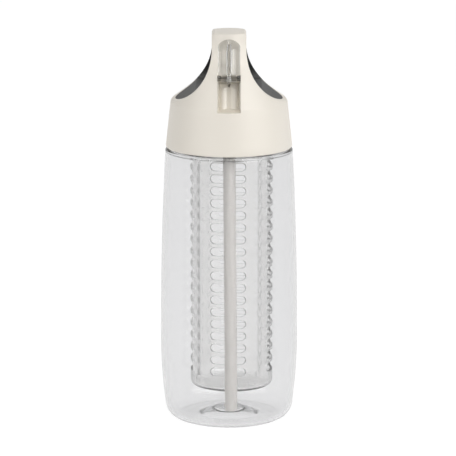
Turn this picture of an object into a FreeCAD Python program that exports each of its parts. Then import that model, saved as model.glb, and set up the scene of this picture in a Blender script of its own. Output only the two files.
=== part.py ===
import FreeCAD, Part
import math
import os

# Fruit infuser water bottle with a screw lid, a flip spout and a full-length infuser basket.
# Millimetres. +Z is up, the origin is the centre of the base, and the spout faces -Y.

# Bottle body
belly_swell = 3.0            # widest ring of the barrel-shaped wall, beyond the shoulder
belly_height = 48.0
heel_tuck = 2.6              # side wall meets the rounded heel this far inside the belly
heel_height = 9.5
foot_tuck = 9.0              # outer edge of the standing ring, inside the heel
foot_width = 12.3
punt_height = 4.8            # rise of the domed base inside the standing ring
shoulder_proud = 0.3         # shoulder beyond the lid's skirt
shoulder_height = 161.3
shoulder_rounding = 1.8
body_wall = 2.0
neck_room = 1.1              # between the straw and the neck's bore
neck_wall = 2.0
neck_height = 16.7           # above the shoulder

# Lid shell, a skirt that turns into a leaning bell with two side scoops
lid_gap = 1.1                # daylight between shoulder and skirt
skirt_wall = 3.7             # at the bottom edge, outside the thread's bore
skirt_height = 26.9
skirt_edge_rounding = 1.0
skirt_taper = 2.9            # skirt drawn in at its top
corner_rounding = 2.0
bell_root_step = 2.1         # bell starts to lean this far inside the skirt's corner
bell_root_rise = 4.5
bell_root_rounding = 4.0
lid_height = 68.1
crown_radius = 12.2          # bell radius at the very top
crown_rounding = 1.6
tower_half_width = 10.05     # between the scoops
tower_rounding = 2.0         # of its upper side edges
flank_height = 9.2           # upright flank of the tower above the scoops
thread_height = 1.1
thread_clearance = 0.3
bore_depth = 20.1            # depth of the skirt under the deck

# Carry loop and its soft liner
front_leg = 8.9              # horizontal thickness of the leg behind the spout
rear_leg = 5.3
deck_rise = 9.7              # floor of the finger gap above the skirt corner
bar_thickness = 8.5
finger_rounding = 4.0
liner_thickness = 1.5
liner_rim = 2.0              # width of shell left around the liner

# Flip spout and its clear frame
hinge_rise = 17.5            # hinge axis above the top of the skirt
hinge_proud = 1.0            # and in front of the bell surface
spout_lean = 12.0            # degrees from upright when raised
spout_half_width = 6.5
spout_setback = 1.5          # centre of the round front behind the hinge axis
spout_back = 3.0             # flat back behind the hinge axis
spout_length = 22.5          # from the hinge axis to the tip
spout_arch = 4.0             # rise of the arched tip
spout_lip = 6.7              # length of the sloping lip that holds the drinking hole
spout_bore_radius = 1.3
spout_bore_floor = 1.0       # foot of the drinking bore above the hinge neck
spout_neck_half_depth = 1.2
barrel_radius = 1.8
barrel_half_width = 4.2
trunnion_radius = 1.0
trunnion_end_gap = 0.3
running_clearance = 0.05
moving_clearance = 0.3
groove_clearance = 0.4
dimple_side = 2.4            # small square stop on the front of the spout
dimple_depth = 0.6
dimple_rise = 8.0            # above the hinge axis
frame_half_width = 6.7
frame_floor = 0.8            # left under the trough's ramp, along the frame
frame_top_rise = 1.9         # frame reaches this far above the hinge axis
frame_back = 6.1             # back of the frame behind the hinge axis
frame_end = 16.5             # lower end of the frame along its back
ramp_slope = 1.0             # the trough runs out on this slope
port_radius = 1.0
seal_radius = 1.4
seal_bore_radius = 0.7
seal_seat = 1.7              # depth of the seal's seat in the frame
seal_clearance = 0.1

# Inner cap, its valve and the gasket
gasket_thickness = 1.5
gasket_inset = 0.2
cap_clearance = 0.2
cap_lug_count = 3
cap_lug_height = 2.0
cap_lug_drop = 3.5           # top of the lugs below the cap plate
cap_lug_angle = 14.0         # degrees
cap_boss_wall = 2.0
cap_boss_depth = 9.0
vent_angle = -43.076         # degrees about the basket's axis, from +X
vent_gap = 0.4805            # between the basket and the valve's head
vent_hole_radius = 1.2
vent_head_radius = 2.6
vent_head_thickness = 0.8
vent_button_radius = 1.9

# Straw
straw_radius = 3.6
straw_bore_radius = 2.6
straw_gap = 0.6              # between straw and infuser
straw_foot = 9.5             # lower end above the base plane
nipple_bore_radius = 1.8
nipple_depth = 9.0

# Infuser basket
infuser_radius = 24.3
infuser_wall = 1.6
infuser_shift_x = 1.5        # basket axis beside the bottle axis
infuser_shift_y = 3.2
infuser_foot = 19.0          # lower end above the base plane
infuser_heel_rounding = 5.0
infuser_top_gap = 0.3
infuser_turn = -5.5          # degrees
boss_clearance = 0.3
bayonet_sweep = 40.0         # degrees
bayonet_clearance = 0.3
slot_count = 18
slot_column_count = 4
slot_width = 20.0
slot_height = 4.8
slot_pitch = 7.22
first_slot_height = 30.9
flute_radius = 2.6
flute_depth = 0.7

# Cuts run past the solids by this much
overrun = 2.0

# Derived heights and radii, outwards from the basket and the straw that pass the neck
straw_y = infuser_shift_y - infuser_radius - straw_gap - straw_radius
neck_bore_radius = straw_radius - straw_y + neck_room
neck_radius = neck_bore_radius + neck_wall
bore_radius = neck_radius + thread_height + thread_clearance
skirt_radius = bore_radius + skirt_wall
corner_radius = skirt_radius - skirt_taper
bell_root_radius = corner_radius - bell_root_step
shoulder_radius = skirt_radius + shoulder_proud
belly_radius = shoulder_radius + belly_swell
heel_radius = belly_radius - heel_tuck
foot_radius = heel_radius - foot_tuck
neck_top = shoulder_height + neck_height
lid_bottom = shoulder_height + lid_gap
corner_height = lid_bottom + skirt_height
bell_root_height = corner_height + bell_root_rise
hinge_height = corner_height + hinge_rise
crown_height = lid_bottom + lid_height
scoop_radius = lid_height - skirt_height - flank_height
scoop_axis_x = tower_half_width + scoop_radius
scoop_axis_z = corner_height + scoop_radius
bore_top = lid_bottom + bore_depth
cap_bottom = neck_top + gasket_thickness
deck_height = corner_height + deck_rise
bar_underside = crown_height - bar_thickness
bell_lean_tangent = (bell_root_radius - crown_radius) / (crown_height - bell_root_height)
bell_lean = math.degrees(math.atan(bell_lean_tangent))
bell_lean_cosine = math.cos(math.radians(bell_lean))
infuser_bore_radius = infuser_radius - infuser_wall
infuser_top = cap_bottom - infuser_top_gap
boss_radius = infuser_bore_radius - boss_clearance
vent_reach = infuser_radius + vent_gap + vent_head_radius
vent_x = infuser_shift_x + vent_reach * math.cos(math.radians(vent_angle))
vent_y = infuser_shift_y + vent_reach * math.sin(math.radians(vent_angle))
infuser_centre = FreeCAD.Vector(infuser_shift_x, infuser_shift_y, 0)

ORIGIN = FreeCAD.Vector(0, 0, 0)
X_AXIS = FreeCAD.Vector(1, 0, 0)
Y_AXIS = FreeCAD.Vector(0, 1, 0)
Z_AXIS = FreeCAD.Vector(0, 0, 1)
DIAGONAL = math.sqrt(0.5)


def bell_line(height):
    """Radius of the leaning part of the bell at a height."""
    return bell_root_radius - (height - bell_root_height) * bell_lean_tangent


hinge = FreeCAD.Vector(0, -bell_line(hinge_height) - hinge_proud / bell_lean_cosine, hinge_height)


def at(radius, height):
    """A point of a turned profile."""
    return FreeCAD.Vector(radius, 0, height)


def line(start, end):
    return Part.LineSegment(start, end).toShape()


def arc(start, middle, end):
    return Part.Arc(start, middle, end).toShape()


def polygon_face(points):
    return Part.Face(Part.makePolygon(points + points[:1]))


def rounded_outline(corners):
    """Closed outline through (point, rounding) corners, each rounding a tangent arc."""
    starts, ends, arcs = [], [], []
    for i, (corner, rounding) in enumerate(corners):
        back = (corners[i - 1][0] - corner).normalize()
        ahead = (corners[(i + 1) % len(corners)][0] - corner).normalize()
        half_angle = back.getAngle(ahead) / 2
        run = rounding / math.tan(half_angle)
        reach = rounding / math.sin(half_angle) - rounding
        starts.append(corner + back * run)
        ends.append(corner + ahead * run)
        if rounding > 0:
            arcs.append(arc(starts[-1], corner + (back + ahead).normalize() * reach, ends[-1]))
    sides = [line(ends[i - 1], starts[i]) for i in range(len(corners))]
    return sides + arcs


def turned(edges, centre=ORIGIN):
    """Solid of revolution about the vertical through centre."""
    face = Part.Face(Part.Wire(Part.__sortEdges__(edges)))
    face.translate(centre)
    return face.revolve(centre, Z_AXIS, 360)


def upright(radius, low, high, centre=ORIGIN):
    """Vertical cylinder between two heights."""
    base = FreeCAD.Vector(centre.x, centre.y, low)
    return Part.makeCylinder(radius, high - low, base, Z_AXIS)


def across(radius, half_width):
    """Cylinder along X, centred on the hinge origin."""
    return Part.makeCylinder(radius, 2 * half_width, FreeCAD.Vector(-half_width, 0, 0), X_AXIS)


def block(half_width, y_low, y_high, z_low, z_high):
    """Box that is centred in X."""
    corner = FreeCAD.Vector(-half_width, y_low, z_low)
    return Part.makeBox(2 * half_width, y_high - y_low, z_high - z_low, corner)


def side_profile(points, half_width):
    """Polygon of (y, z) points, extruded to both sides of the middle plane."""
    corners = [FreeCAD.Vector(-half_width, y, z) for y, z in points]
    return polygon_face(corners).extrude(FreeCAD.Vector(2 * half_width, 0, 0))


def leaning(shape, degrees):
    """Move a shape from the hinge's own axes to the bottle, leaning back."""
    moved = shape.copy()
    moved.rotate(ORIGIN, X_AXIS, -degrees)
    moved.translate(hinge)
    return moved


def dome_edge(rim_radius, rim_height, rise):
    """Arc from the rim of a shallow dome to its top on the axis."""
    sphere_radius = (rim_radius ** 2 + rise ** 2) / (2 * rise)
    half_drop = sphere_radius - math.sqrt(sphere_radius ** 2 - (rim_radius / 2) ** 2)
    top = rim_height + rise
    return arc(at(rim_radius, rim_height), at(rim_radius / 2, top - half_drop), at(0, top))


def barrel_edge(belly, end):
    """Shallow arc that leaves the belly upright: a quarter of its drop at half its length."""
    quarter_share = 0.25
    drop = belly.x - end.x
    middle = at(belly.x - quarter_share * drop, (belly.z + end.z) / 2)
    return arc(belly, middle, end)


def wall_edges(inset, top):
    """One face of the bottle wall, from the middle of the base up to the shoulder."""
    inner_foot = at(foot_radius - foot_width, inset)
    outer_foot = at(foot_radius, inset)
    heel = at(heel_radius - inset, heel_height)
    belly = at(belly_radius - inset, belly_height)
    centre = at(foot_radius, heel_height)
    ellipse = Part.Ellipse(outer_foot, heel, centre)
    return [
        dome_edge(inner_foot.x, inset, punt_height),
        line(inner_foot, outer_foot),
        Part.ArcOfEllipse(ellipse, 0, math.pi / 2).toShape(),
        barrel_edge(belly, heel),
        barrel_edge(belly, top),
    ]


def make_bottle_body():
    """Clear barrel-shaped bottle with a domed base and a wide threaded neck."""
    outer_top = at(shoulder_radius, shoulder_height - shoulder_rounding)
    inner_top = at(shoulder_radius - body_wall, shoulder_height - body_wall)
    turn_centre = at(shoulder_radius - shoulder_rounding, shoulder_height - shoulder_rounding)
    turn_reach = shoulder_rounding * DIAGONAL
    turn_middle = at(turn_centre.x + turn_reach, turn_centre.z + turn_reach)
    ledge = at(turn_centre.x, shoulder_height)
    neck_foot = at(neck_radius, shoulder_height)
    rim_outer = at(neck_radius, neck_top)
    rim_inner = at(neck_bore_radius, neck_top)
    bore_foot = at(neck_bore_radius, inner_top.z)
    edges = wall_edges(0, outer_top) + wall_edges(body_wall, inner_top)
    edges += [
        arc(outer_top, turn_middle, ledge),
        line(ledge, neck_foot),
        line(neck_foot, rim_outer),
        line(rim_outer, rim_inner),
        line(rim_inner, bore_foot),
        line(bore_foot, inner_top),
        line(at(0, punt_height), at(0, punt_height + body_wall)),
    ]
    return turned(edges)


def circles_at(shape, height):
    """The circular edges of a turned shape that lie at a height."""
    match_share = 1e-6
    level = [e for e in shape.Edges if math.isclose(e.CenterOfMass.z, height, rel_tol=match_share)]
    return [e for e in level if e.isClosed()]


def make_bell(inset):
    """Skirt, leaning bell and crown as one turned solid, thinned by an inset."""
    corners = [
        (at(0, lid_bottom), 0),
        (at(skirt_radius - inset, lid_bottom), skirt_edge_rounding),
        (at(corner_radius - inset, corner_height), corner_rounding),
        (at(bell_root_radius - inset, bell_root_height), bell_root_rounding),
        (at(crown_radius - inset, crown_height), crown_rounding),
        (at(0, crown_height), 0),
    ]
    return turned(rounded_outline(corners))


def scoop_pair(growth):
    """Round side scoops with steep flanks above, grown into the lid by a thickness."""
    radius = scoop_radius + growth
    reach = radius * DIAGONAL
    outside = scoop_axis_x + scoop_radius
    depth = skirt_radius + overrun
    top = crown_height + overrun
    turn = tower_rounding * DIAGONAL
    turn_z = crown_height - tower_rounding
    scoops = []
    for side in (-1, 1):
        flank = FreeCAD.Vector(side * (tower_half_width - growth), -depth, scoop_axis_z)
        middle = FreeCAD.Vector(side * (scoop_axis_x - reach), -depth, scoop_axis_z - reach)
        bottom = FreeCAD.Vector(side * scoop_axis_x, -depth, scoop_axis_z - radius)
        corner = FreeCAD.Vector(side * outside, -depth, scoop_axis_z - radius)
        sky = FreeCAD.Vector(side * outside, -depth, top)
        turn_x = tower_half_width - growth - tower_rounding
        crown_sky = FreeCAD.Vector(side * turn_x, -depth, top)
        crown = FreeCAD.Vector(side * turn_x, -depth, crown_height)
        turn_middle = FreeCAD.Vector(side * (turn_x + turn), -depth, turn_z + turn)
        turn_foot = FreeCAD.Vector(side * (tower_half_width - growth), -depth, turn_z)
        edges = [arc(flank, middle, bottom), line(bottom, corner), line(corner, sky)]
        edges += [line(sky, crown_sky), line(crown_sky, crown)]
        edges += [arc(crown, turn_middle, turn_foot), line(turn_foot, flank)]
        face = Part.Face(Part.Wire(Part.__sortEdges__(edges)))
        scoops.append(face.extrude(FreeCAD.Vector(0, 2 * depth, 0)))
    return scoops[0].fuse(scoops[1])


def finger_gap(growth):
    """Opening of the carry loop, right through along X, grown by a thickness."""
    slant = growth / bell_lean_cosine
    low = deck_height - growth
    high = bar_underside + growth
    points = [
        (front_leg - slant - bell_line(low), low),
        (bell_line(low) - rear_leg + slant, low),
        (bell_line(high) - rear_leg + slant, high),
        (front_leg - slant - bell_line(high), high),
    ]
    corners = [(FreeCAD.Vector(-scoop_axis_x, y, z), finger_rounding + growth) for y, z in points]
    face = Part.Face(Part.Wire(Part.__sortEdges__(rounded_outline(corners))))
    return face.extrude(FreeCAD.Vector(2 * scoop_axis_x, 0, 0))


def make_handle_liner():
    """Soft liner: a skin on both scoops, joined by the lining of the finger gap."""
    inner = make_bell(liner_rim)
    web = make_bell(0).cut(scoop_pair(0))
    skin = inner.cut(scoop_pair(0)).cut(make_bell(0).cut(scoop_pair(liner_thickness)))
    below_flank = block(skirt_radius, -skirt_radius, skirt_radius, lid_bottom, scoop_axis_z)
    skin = skin.common(below_flank)
    lining = finger_gap(liner_thickness).common(web)
    return skin.fuse(lining).cut(finger_gap(0)).removeSplitter()


def frame_outline(back, end):
    """Side profile of the frame pocket, whose lower end runs out on the ramp."""
    front = -bell_root_radius
    return [
        (front, frame_top_rise),
        (back, frame_top_rise),
        (back, -end),
        (front, -end - ramp_slope * (back - front)),
    ]


def frame_pocket():
    """Space that the spout frame fills in the front of the lid."""
    return leaning(side_profile(frame_outline(frame_back, frame_end), frame_half_width), bell_lean)


def spout_groove():
    """Shallow groove behind the raised spout."""
    half_width = spout_half_width + groove_clearance
    back = spout_back + groove_clearance
    top = spout_length + lid_height
    return leaning(block(half_width, -skirt_radius, back, 0, top), spout_lean)


def drink_channel():
    """Passage in the deck from the straw nipple to the back of the frame."""
    top = leaning(Part.Vertex(0, frame_back, 0), bell_lean).Point
    bottom = FreeCAD.Vector(0, straw_y, bore_top)
    return Part.makeCylinder(port_radius, (top - bottom).Length, bottom, top - bottom)


def make_lid_shell(liner):
    """Moulded lid with its skirt bore, carry loop and front pocket."""
    shell = make_bell(0).cut(scoop_pair(0))
    shell = shell.cut(finger_gap(0)).cut(liner)
    shell = shell.cut(upright(bore_radius, lid_bottom - overrun, bore_top))
    return shell.cut(frame_pocket()).cut(spout_groove()).cut(drink_channel())


def seal_seat_depth():
    """Floor of the seal's seat behind the hinge axis."""
    return barrel_radius + moving_clearance + seal_seat


def make_spout_frame():
    """Clear insert: two hinge ears at the top and a round trough for the folded spout."""
    pocket = side_profile(frame_outline(frame_back, frame_end), frame_half_width)
    ears = across(barrel_radius + running_clearance, frame_half_width)
    floor_gap = barrel_radius + moving_clearance
    slot = block(barrel_half_width + moving_clearance, -bell_root_radius, floor_gap,
                 -frame_top_rise - moving_clearance, frame_top_rise + overrun)
    trough_radius = spout_half_width + moving_clearance
    trough_back = trough_radius - spout_setback + overrun
    trough = Part.makeCylinder(trough_radius, bell_root_radius,
                               FreeCAD.Vector(0, -spout_setback, -frame_top_rise), -Z_AXIS)
    trough_end = frame_end - frame_floor + ramp_slope * (frame_back - trough_back)
    trough = trough.common(side_profile(frame_outline(trough_back, trough_end), skirt_radius))
    seat = Part.makeCylinder(seal_radius, seal_seat_depth(), ORIGIN, Y_AXIS)
    port = Part.makeCylinder(port_radius, frame_back + overrun, ORIGIN, Y_AXIS)
    bores = across(trunnion_radius + running_clearance, frame_half_width + overrun)
    body = pocket.cut(trough).cut(slot)
    body = leaning(body, bell_lean).common(make_bell(0))
    ears = leaning(ears.cut(slot), bell_lean)
    cuts = leaning(seat.fuse(port).fuse(bores), bell_lean)
    return body.fuse(ears).cut(cuts).removeSplitter()


def make_spout_seal():
    """Saddle-shaped silicone bush that seals the hinge barrel to the frame."""
    seal = Part.makeCylinder(seal_radius, seal_seat_depth(), ORIGIN, Y_AXIS)
    seal = seal.cut(Part.makeCylinder(seal_bore_radius, seal_seat_depth(), ORIGIN, Y_AXIS))
    seal = seal.cut(across(barrel_radius + seal_clearance, frame_half_width))
    return leaning(seal, bell_lean)


def spout_section(height):
    """D-shaped section of the spout: a round front and a flat back."""
    side = spout_half_width
    corners = [
        FreeCAD.Vector(-side, spout_back, height),
        FreeCAD.Vector(-side, spout_setback, height),
        FreeCAD.Vector(0, spout_setback - side, height),
        FreeCAD.Vector(side, spout_setback, height),
        FreeCAD.Vector(side, spout_back, height),
    ]
    edges = [line(corners[0], corners[1]), arc(*corners[1:4])]
    edges += [line(corners[3], corners[4]), line(corners[4], corners[0])]
    return Part.Face(Part.Wire(Part.__sortEdges__(edges)))


def spout_outline():
    """Front outline of the spout with its arched tip, as a deep block."""
    side = spout_half_width
    low = 0
    high = spout_length - spout_arch
    depth = side + spout_back
    points = [FreeCAD.Vector(x, -depth, z) for x, z in
              ((-side, high), (-side, low), (side, low), (side, high))]
    tip = FreeCAD.Vector(0, -depth, spout_length)
    edges = [line(points[0], points[1]), line(points[1], points[2]), line(points[2], points[3])]
    edges.append(arc(points[3], tip, points[0]))
    return Part.Face(Part.Wire(Part.__sortEdges__(edges))).extrude(FreeCAD.Vector(0, 2 * depth, 0))


def make_spout():
    """Clear flip spout with its hinge barrel, trunnions, drinking bore and sloping lip."""
    shoulder = barrel_radius + moving_clearance
    crown = spout_setback - spout_half_width
    body = spout_section(shoulder).extrude(Z_AXIS * (spout_length - shoulder)).common(spout_outline())
    lip = side_profile([(crown, spout_length - spout_lip), (crown, spout_length),
                        (crown + spout_lip, spout_length)], spout_half_width)
    neck = block(barrel_half_width, -spout_neck_half_depth, spout_neck_half_depth, 0, shoulder)
    barrel = across(barrel_radius, barrel_half_width)
    trunnions = across(trunnion_radius, frame_half_width - trunnion_end_gap)
    bore = Part.makeCylinder(spout_bore_radius, spout_length, at(0, shoulder + spout_bore_floor), Z_AXIS)
    throat = Part.makeCylinder(port_radius, spout_length, ORIGIN, Z_AXIS)
    dimple = block(dimple_side / 2, crown, crown + dimple_depth,
                   dimple_rise - dimple_side / 2, dimple_rise + dimple_side / 2)
    spout = body.cut(lip).fuse([neck, barrel, trunnions]).cut([bore, throat, dimple])
    port = Part.makeCylinder(port_radius, frame_back, ORIGIN, Y_AXIS)
    return leaning(spout, spout_lean).cut(leaning(port, bell_lean)).removeSplitter()


def make_neck_gasket():
    """Flat silicone ring between the neck rim and the inner cap."""
    ring = upright(neck_radius - gasket_inset, neck_top, cap_bottom)
    return ring.cut(upright(neck_bore_radius + gasket_inset, neck_top, cap_bottom))


def ring_sector(inner, outer, low, high, start, sweep, centre):
    """Part of a ring, given by its start angle and sweep in degrees."""
    base = FreeCAD.Vector(centre.x, centre.y, low)
    sector = Part.makeCylinder(outer, high - low, base, Z_AXIS, sweep)
    sector = sector.cut(Part.makeCylinder(inner, high - low, base, Z_AXIS))
    return sector.rotate(centre, Z_AXIS, start)


def lug_starts():
    """Start angles of the bayonet lugs."""
    return [360 * i / cap_lug_count for i in range(cap_lug_count)]


def vent_point(height):
    return FreeCAD.Vector(vent_x, vent_y, height)


def make_inner_cap():
    """Plate under the deck with the infuser's bayonet boss and the straw's nipple."""
    plate = upright(bore_radius - cap_clearance, cap_bottom, bore_top)
    boss_foot = cap_bottom - cap_boss_depth
    boss = upright(boss_radius, boss_foot, cap_bottom, infuser_centre)
    boss = boss.cut(upright(boss_radius - cap_boss_wall, boss_foot, cap_bottom, infuser_centre))
    lug_top = cap_bottom - cap_lug_drop
    lugs = []
    for start in lug_starts():
        lugs.append(ring_sector(boss_radius - cap_boss_wall, infuser_radius, lug_top - cap_lug_height,
                                lug_top, start, cap_lug_angle, infuser_centre))
    straw_centre = FreeCAD.Vector(0, straw_y, 0)
    nipple_foot = cap_bottom - nipple_depth
    nipple = upright(straw_bore_radius - running_clearance, nipple_foot, cap_bottom, straw_centre)
    passage = upright(nipple_bore_radius, nipple_foot, bore_top, straw_centre)
    vent = upright(vent_hole_radius, cap_bottom, bore_top, vent_point(0))
    button = upright(vent_button_radius + running_clearance, bore_top - vent_head_thickness,
                     bore_top, vent_point(0))
    return plate.fuse([boss, nipple] + lugs).cut([passage, vent, button]).removeSplitter()


def make_vent_valve():
    """Silicone mushroom valve that lets air back into the bottle."""
    head = upright(vent_head_radius, cap_bottom - vent_head_thickness, cap_bottom, vent_point(0))
    stem = upright(vent_hole_radius, cap_bottom - vent_head_thickness, bore_top, vent_point(0))
    button = upright(vent_button_radius, bore_top - vent_head_thickness, bore_top, vent_point(0))
    return head.fuse([stem, button]).removeSplitter()


def make_straw():
    """Straight drinking straw, pushed over the cap's nipple."""
    centre = FreeCAD.Vector(0, straw_y, 0)
    straw = upright(straw_radius, straw_foot, cap_bottom, centre)
    return straw.cut(upright(straw_bore_radius, straw_foot, cap_bottom, centre))


def slot_cutters():
    """Rows of round-ended slots, right through the basket, in two crossed directions."""
    reach = infuser_radius + overrun
    straight = slot_width / 2 - slot_height / 2
    high = slot_height / 2
    cutters = []
    for row in range(slot_count):
        height = first_slot_height + row * slot_pitch
        left = FreeCAD.Vector(-straight, -reach, height)
        right = FreeCAD.Vector(straight, -reach, height)
        up = Z_AXIS * high
        out = X_AXIS * high
        edges = [line(left + up, right + up), arc(right + up, right + out, right - up)]
        edges += [line(right - up, left - up), arc(left - up, left - out, left + up)]
        face = Part.Face(Part.Wire(Part.__sortEdges__(edges)))
        slot = face.extrude(FreeCAD.Vector(0, 2 * reach, 0))
        for column in range(slot_column_count // 2):
            turned_slot = slot.copy()
            turned_slot.rotate(ORIGIN, Z_AXIS, infuser_turn + column * 360 / slot_column_count)
            turned_slot.translate(infuser_centre)
            cutters.append(turned_slot)
    return cutters


def flute_cutters():
    """Shallow upright flutes between the slot columns."""
    reach = infuser_radius - flute_depth + flute_radius
    cutters = []
    for column in range(slot_column_count):
        angle = math.radians(infuser_turn + (column + 0.5) * 360 / slot_column_count)
        centre = infuser_centre + FreeCAD.Vector(reach * math.cos(angle), reach * math.sin(angle), 0)
        low = infuser_foot + infuser_heel_rounding
        high = cap_bottom - cap_boss_depth
        cutters.append(upright(flute_radius, low, high, centre))
    return cutters


def bayonet_cutters():
    """L-shaped slots that hook the basket over the cap's lugs."""
    lug_top = cap_bottom - cap_lug_drop
    low = lug_top - cap_lug_height - bayonet_clearance
    margin = math.degrees(bayonet_clearance / infuser_bore_radius)
    inner = boss_radius
    outer = infuser_radius + overrun
    cutters = []
    roof = lug_top + running_clearance
    for start in lug_starts():
        run = cap_lug_angle + bayonet_sweep + 2 * margin
        first = start - bayonet_sweep - margin
        cutters.append(ring_sector(inner, outer, low, roof, first, run, infuser_centre))
        entry = cap_lug_angle + 2 * margin
        cutters.append(ring_sector(inner, outer, low, infuser_top + overrun, first, entry, infuser_centre))
    return cutters


def make_infuser_basket():
    """Clear slotted tube with a closed, rounded bottom and a bayonet mouth."""
    tube = upright(infuser_radius, infuser_foot, infuser_top, infuser_centre)
    tube = tube.makeFillet(infuser_heel_rounding, circles_at(tube, infuser_foot))
    inside = upright(infuser_bore_radius, infuser_foot + infuser_wall, infuser_top + overrun, infuser_centre)
    heel = infuser_heel_rounding - infuser_wall
    inside = inside.makeFillet(heel, circles_at(inside, infuser_foot + infuser_wall))
    tube = tube.cut(inside)
    return tube.cut(slot_cutters() + flute_cutters() + bayonet_cutters())


def main():
    os.makedirs("parts", exist_ok=True)
    liner = make_handle_liner()
    nodes = {
        "bottle_body": make_bottle_body(),
        "neck_gasket": make_neck_gasket(),
        "lid_shell": make_lid_shell(liner),
        "handle_liner": liner,
        "inner_cap": make_inner_cap(),
        "vent_valve": make_vent_valve(),
        "spout_frame": make_spout_frame(),
        "spout_seal": make_spout_seal(),
        "spout": make_spout(),
        "straw": make_straw(),
        "infuser_basket": make_infuser_basket(),
    }
    for name, shape in nodes.items():
        print(name, len(shape.Solids), round(shape.Volume), shape.isValid())
        shape.exportStep("parts/" + name + ".step")


main()
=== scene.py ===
"""Looks of a fruit infuser water bottle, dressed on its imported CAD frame.

All lengths are metres in the CAD frame: +Z is up, the spout faces -Y and the
origin is the middle of the base.
"""

import logging
import math
from collections.abc import Callable
from dataclasses import dataclass
from enum import Enum

import bmesh
import bpy
import numpy as np
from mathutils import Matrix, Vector


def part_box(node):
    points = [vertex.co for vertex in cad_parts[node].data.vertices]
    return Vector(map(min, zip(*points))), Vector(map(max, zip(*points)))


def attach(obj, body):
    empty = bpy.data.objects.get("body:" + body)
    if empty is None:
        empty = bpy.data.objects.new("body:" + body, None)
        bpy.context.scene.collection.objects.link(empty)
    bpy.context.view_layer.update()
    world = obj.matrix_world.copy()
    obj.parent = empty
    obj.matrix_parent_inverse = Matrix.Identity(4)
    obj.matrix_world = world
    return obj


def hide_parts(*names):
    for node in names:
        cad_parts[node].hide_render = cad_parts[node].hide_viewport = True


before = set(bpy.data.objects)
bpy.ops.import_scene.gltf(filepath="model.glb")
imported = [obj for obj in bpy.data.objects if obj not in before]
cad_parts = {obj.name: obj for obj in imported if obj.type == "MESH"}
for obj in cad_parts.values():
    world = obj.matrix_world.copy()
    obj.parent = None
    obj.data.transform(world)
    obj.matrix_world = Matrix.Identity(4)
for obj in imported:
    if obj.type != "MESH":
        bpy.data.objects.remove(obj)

Array = np.ndarray
Surface = tuple[Array, Array]
Material = bpy.types.Material
Node = bpy.types.Node
NodeTree = bpy.types.NodeTree
Piece = bpy.types.Object
Socket = bpy.types.NodeSocket

LOG = logging.getLogger("infuser_bottle")
FULL_TURN = 2 * math.pi
# Points of a mesh that lie closer together than this become one.
WELD_REACH = 0.000002
# Edges of a modelled surface that turn by more than this, in degrees, stay crisp.
CRISP_ANGLE = 40.0

# Noise detail of a moulded skin.
FLOW_DETAIL = 2
GRAIN_DETAIL = 3

# Rub marks: their direction, stretch and noise detail, and where a streak fades in.
MARK_TURN = (0.35, 0.2, 0.5)
MARK_STRETCH = (1, 1, 14)
MARK_DETAIL = 4
MARK_ENDS = (0.56, 0.72)
PATCH_DETAIL = 1
PATCH_SPAN = (0.7, 1.25)


class Body(Enum):
    """Moving groups of the CAD frame that modelled pieces ride on."""

    BOTTLE = "bottle"
    LID = "lid"
    SPOUT = "spout"
    INFUSER = "infuser"


class Slot(Enum):
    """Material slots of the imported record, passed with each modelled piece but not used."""

    CLEAR_BOTTLE = "clear_bottle"
    CLEAR_SPOUT = "clear_spout"
    CLEAR_INFUSER = "clear_infuser"
    CREAM = "cream_plastic"
    CHARCOAL = "charcoal_grip"
    STRAW = "frosted_straw"


def arc_rows(start: tuple, middle: tuple, end: tuple, count: int) -> Array:
    """Points on the circle through three points, evenly spaced by angle.

    Args:
        start: First (radius, height) point.
        middle: A point between the ends.
        end: Last point.
        count: Number of points.

    Returns:
        Array of shape (count, 2).
    """
    a, b, c = (np.array(p, float) for p in (start, middle, end))
    lhs = 2 * np.array([b - a, c - a])
    rhs = np.array([b @ b - a @ a, c @ c - a @ a])
    centre = np.linalg.solve(lhs, rhs)
    radius = np.linalg.norm(a - centre)
    angles = np.unwrap([math.atan2(*(p - centre)[::-1]) for p in (a, b, c)])
    sweep = np.linspace(angles[0], angles[2], count)
    return centre + radius * np.stack([np.cos(sweep), np.sin(sweep)], 1)


def line_rows(start: tuple, end: tuple, count: int) -> Array:
    """Evenly spaced points on a straight line, both ends included."""
    return np.linspace(start, end, count)


def corner_rows(corner: tuple, back: tuple, ahead: tuple, radius: float, count: int) -> Array:
    """Quarter turn that rounds a right-angled corner.

    Args:
        corner: The sharp corner.
        back: Unit direction towards the run before the corner.
        ahead: Unit direction towards the run after it.
        radius: Rounding radius.
        count: Number of points.

    Returns:
        Array of shape (count, 2): corner + radius ((1 - sin t) back + (1 - cos t) ahead).
    """
    turn = np.linspace(0, math.pi / 2, count)[:, None]
    point, b, a = (np.array(p, float) for p in (corner, back, ahead))
    return point + radius * ((1 - np.sin(turn)) * b + (1 - np.cos(turn)) * a)


def grid_faces(rows: int, columns: int) -> Array:
    """Quads of a row by column grid of points whose last column joins the first one.

    Args:
        rows: Number of point rows.
        columns: Number of points in a row.

    Returns:
        Array of shape (faces, 4) of point numbers.
    """
    number = np.arange(rows * columns).reshape(rows, columns)
    number = np.concatenate([number, number[:, :1]], 1)
    corners = (number[:-1, :-1], number[:-1, 1:], number[1:, 1:], number[1:, :-1])
    return np.stack([c.ravel() for c in corners], 1)


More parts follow.
